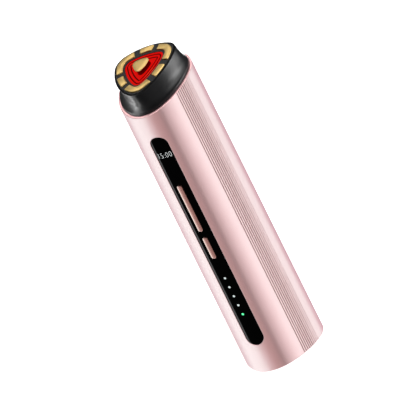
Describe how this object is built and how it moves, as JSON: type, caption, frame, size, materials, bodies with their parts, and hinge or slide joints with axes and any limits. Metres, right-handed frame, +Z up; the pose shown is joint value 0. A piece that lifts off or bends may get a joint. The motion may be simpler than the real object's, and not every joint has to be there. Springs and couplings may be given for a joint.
{
  "type": "facial toning device",
  "caption": "Handheld facial toning device: soft three-sided metal handle with a long control panel, ribbed grip and slanted head with gold electrodes round a red light window.",
  "frame": {"origin": "on the handle's axis, in the plane that the foot pad rests on", "axes": "+Z up the handle towards the head, -Y out of the control panel, +X to the right when the panel is seen from in front"},
  "size_m": [0.0424, 0.0428, 0.1757],
  "materials": {
    "black_gloss": "polished black plastic",
    "black_satin": "fine satin black plastic",
    "board_green": "green solder mask",
    "capacitor_can": "sleeved aluminium can",
    "cell_wrap": "blue film over a steel cell, about 2.7 g per cubic centimetre in all",
    "chassis_grey": "moulded grey plastic",
    "clear_green": "lit green light pipe",
    "clear_white": "frosted clear light pipe",
    "connector_black": "black moulded resin",
    "dark_rubber": "matte silicone rubber",
    "display_white": "white display body",
    "ferrite": "sintered ferrite with a copper winding",
    "gold_plate": "satin gold plating on brass",
    "heavy_alloy": "dense sintered alloy",
    "led_body": "yellow light-emitting diode bodies",
    "light_red": "red light-emitting diodes",
    "plunger_ivory": "ivory nylon",
    "red_clear": "translucent red plastic lit from below",
    "red_dark": "dark red plastic",
    "ribbon_amber": "amber polyimide film",
    "rose_metal": "satin rose-pink anodised aluminium",
    "sensor_tan": "epoxy bead",
    "steel": "nickel-plated steel",
    "switch_grey": "grey moulded switch body"
  },
  "bodies": {
    "handle": {"handle_shell": "rose_metal", "base_cap": "black_satin", "foot_pad": "dark_rubber", "base_screws": "steel", "usb_receptacle": "steel", "usb_tongue": "connector_black", "charge_board": "board_green", "charge_ribbon": "ribbon_amber", "chassis": "chassis_grey", "board_screws": "steel", "battery_cell": "cell_wrap", "battery_tabs": "steel", "cell_ring": "dark_rubber", "main_board": "board_green", "main_chips": "connector_black", "shield_can": "steel", "rf_board": "board_green", "rf_transformer": "ferrite", "rf_capacitors": "capacitor_can", "motor_holder": "chassis_grey", "motor_can": "steel", "control_panel": "black_gloss", "panel_gasket": "dark_rubber", "indicator_lenses": "clear_white", "power_lens": "clear_green", "indicator_leds": "led_body", "display_module": "display_white", "tact_switches": "switch_grey", "collar_ring": "black_gloss", "head_shroud": "black_gloss", "head_frame": "chassis_grey", "head_screws": "steel", "head_ribbon": "ribbon_amber", "light_board": "board_green", "red_leds": "light_red", "electrode_pins": "gold_plate", "temperature_sensor": "sensor_tan", "face_plate": "black_satin", "corner_electrode_front": "gold_plate", "corner_electrode_right": "gold_plate", "corner_electrode_left": "gold_plate", "side_electrode_right": "gold_plate", "side_electrode_back": "gold_plate", "side_electrode_left": "gold_plate", "red_window": "red_clear", "centre_pedestal": "red_dark", "centre_electrode": "gold_plate"},
    "long_key_body": {"long_key": "rose_metal", "long_key_plunger": "plunger_ivory"},
    "short_key_body": {"short_key": "rose_metal", "short_key_plunger": "plunger_ivory"},
    "motor_rotor": {"motor_shaft": "steel", "motor_weight": "heavy_alloy"}
  },
  "joints": [
    {"name": "long_key_press", "type": "slide", "parent": "handle", "child": "long_key_body", "axis": [0, 1, 0], "range_m": [0, 0.00035], "stiffness_N_per_m": 3000, "springref_m": -0.0002},
    {"name": "short_key_press", "type": "slide", "parent": "handle", "child": "short_key_body", "axis": [0, 1, 0], "range_m": [0, 0.00035], "stiffness_N_per_m": 3000, "springref_m": -0.0002},
    {"name": "motor_spin", "type": "hinge", "parent": "handle", "child": "motor_rotor", "pos_m": [0, 0.011, 0.1292], "axis": [0, 0, 1], "continuous": true}
  ]
}
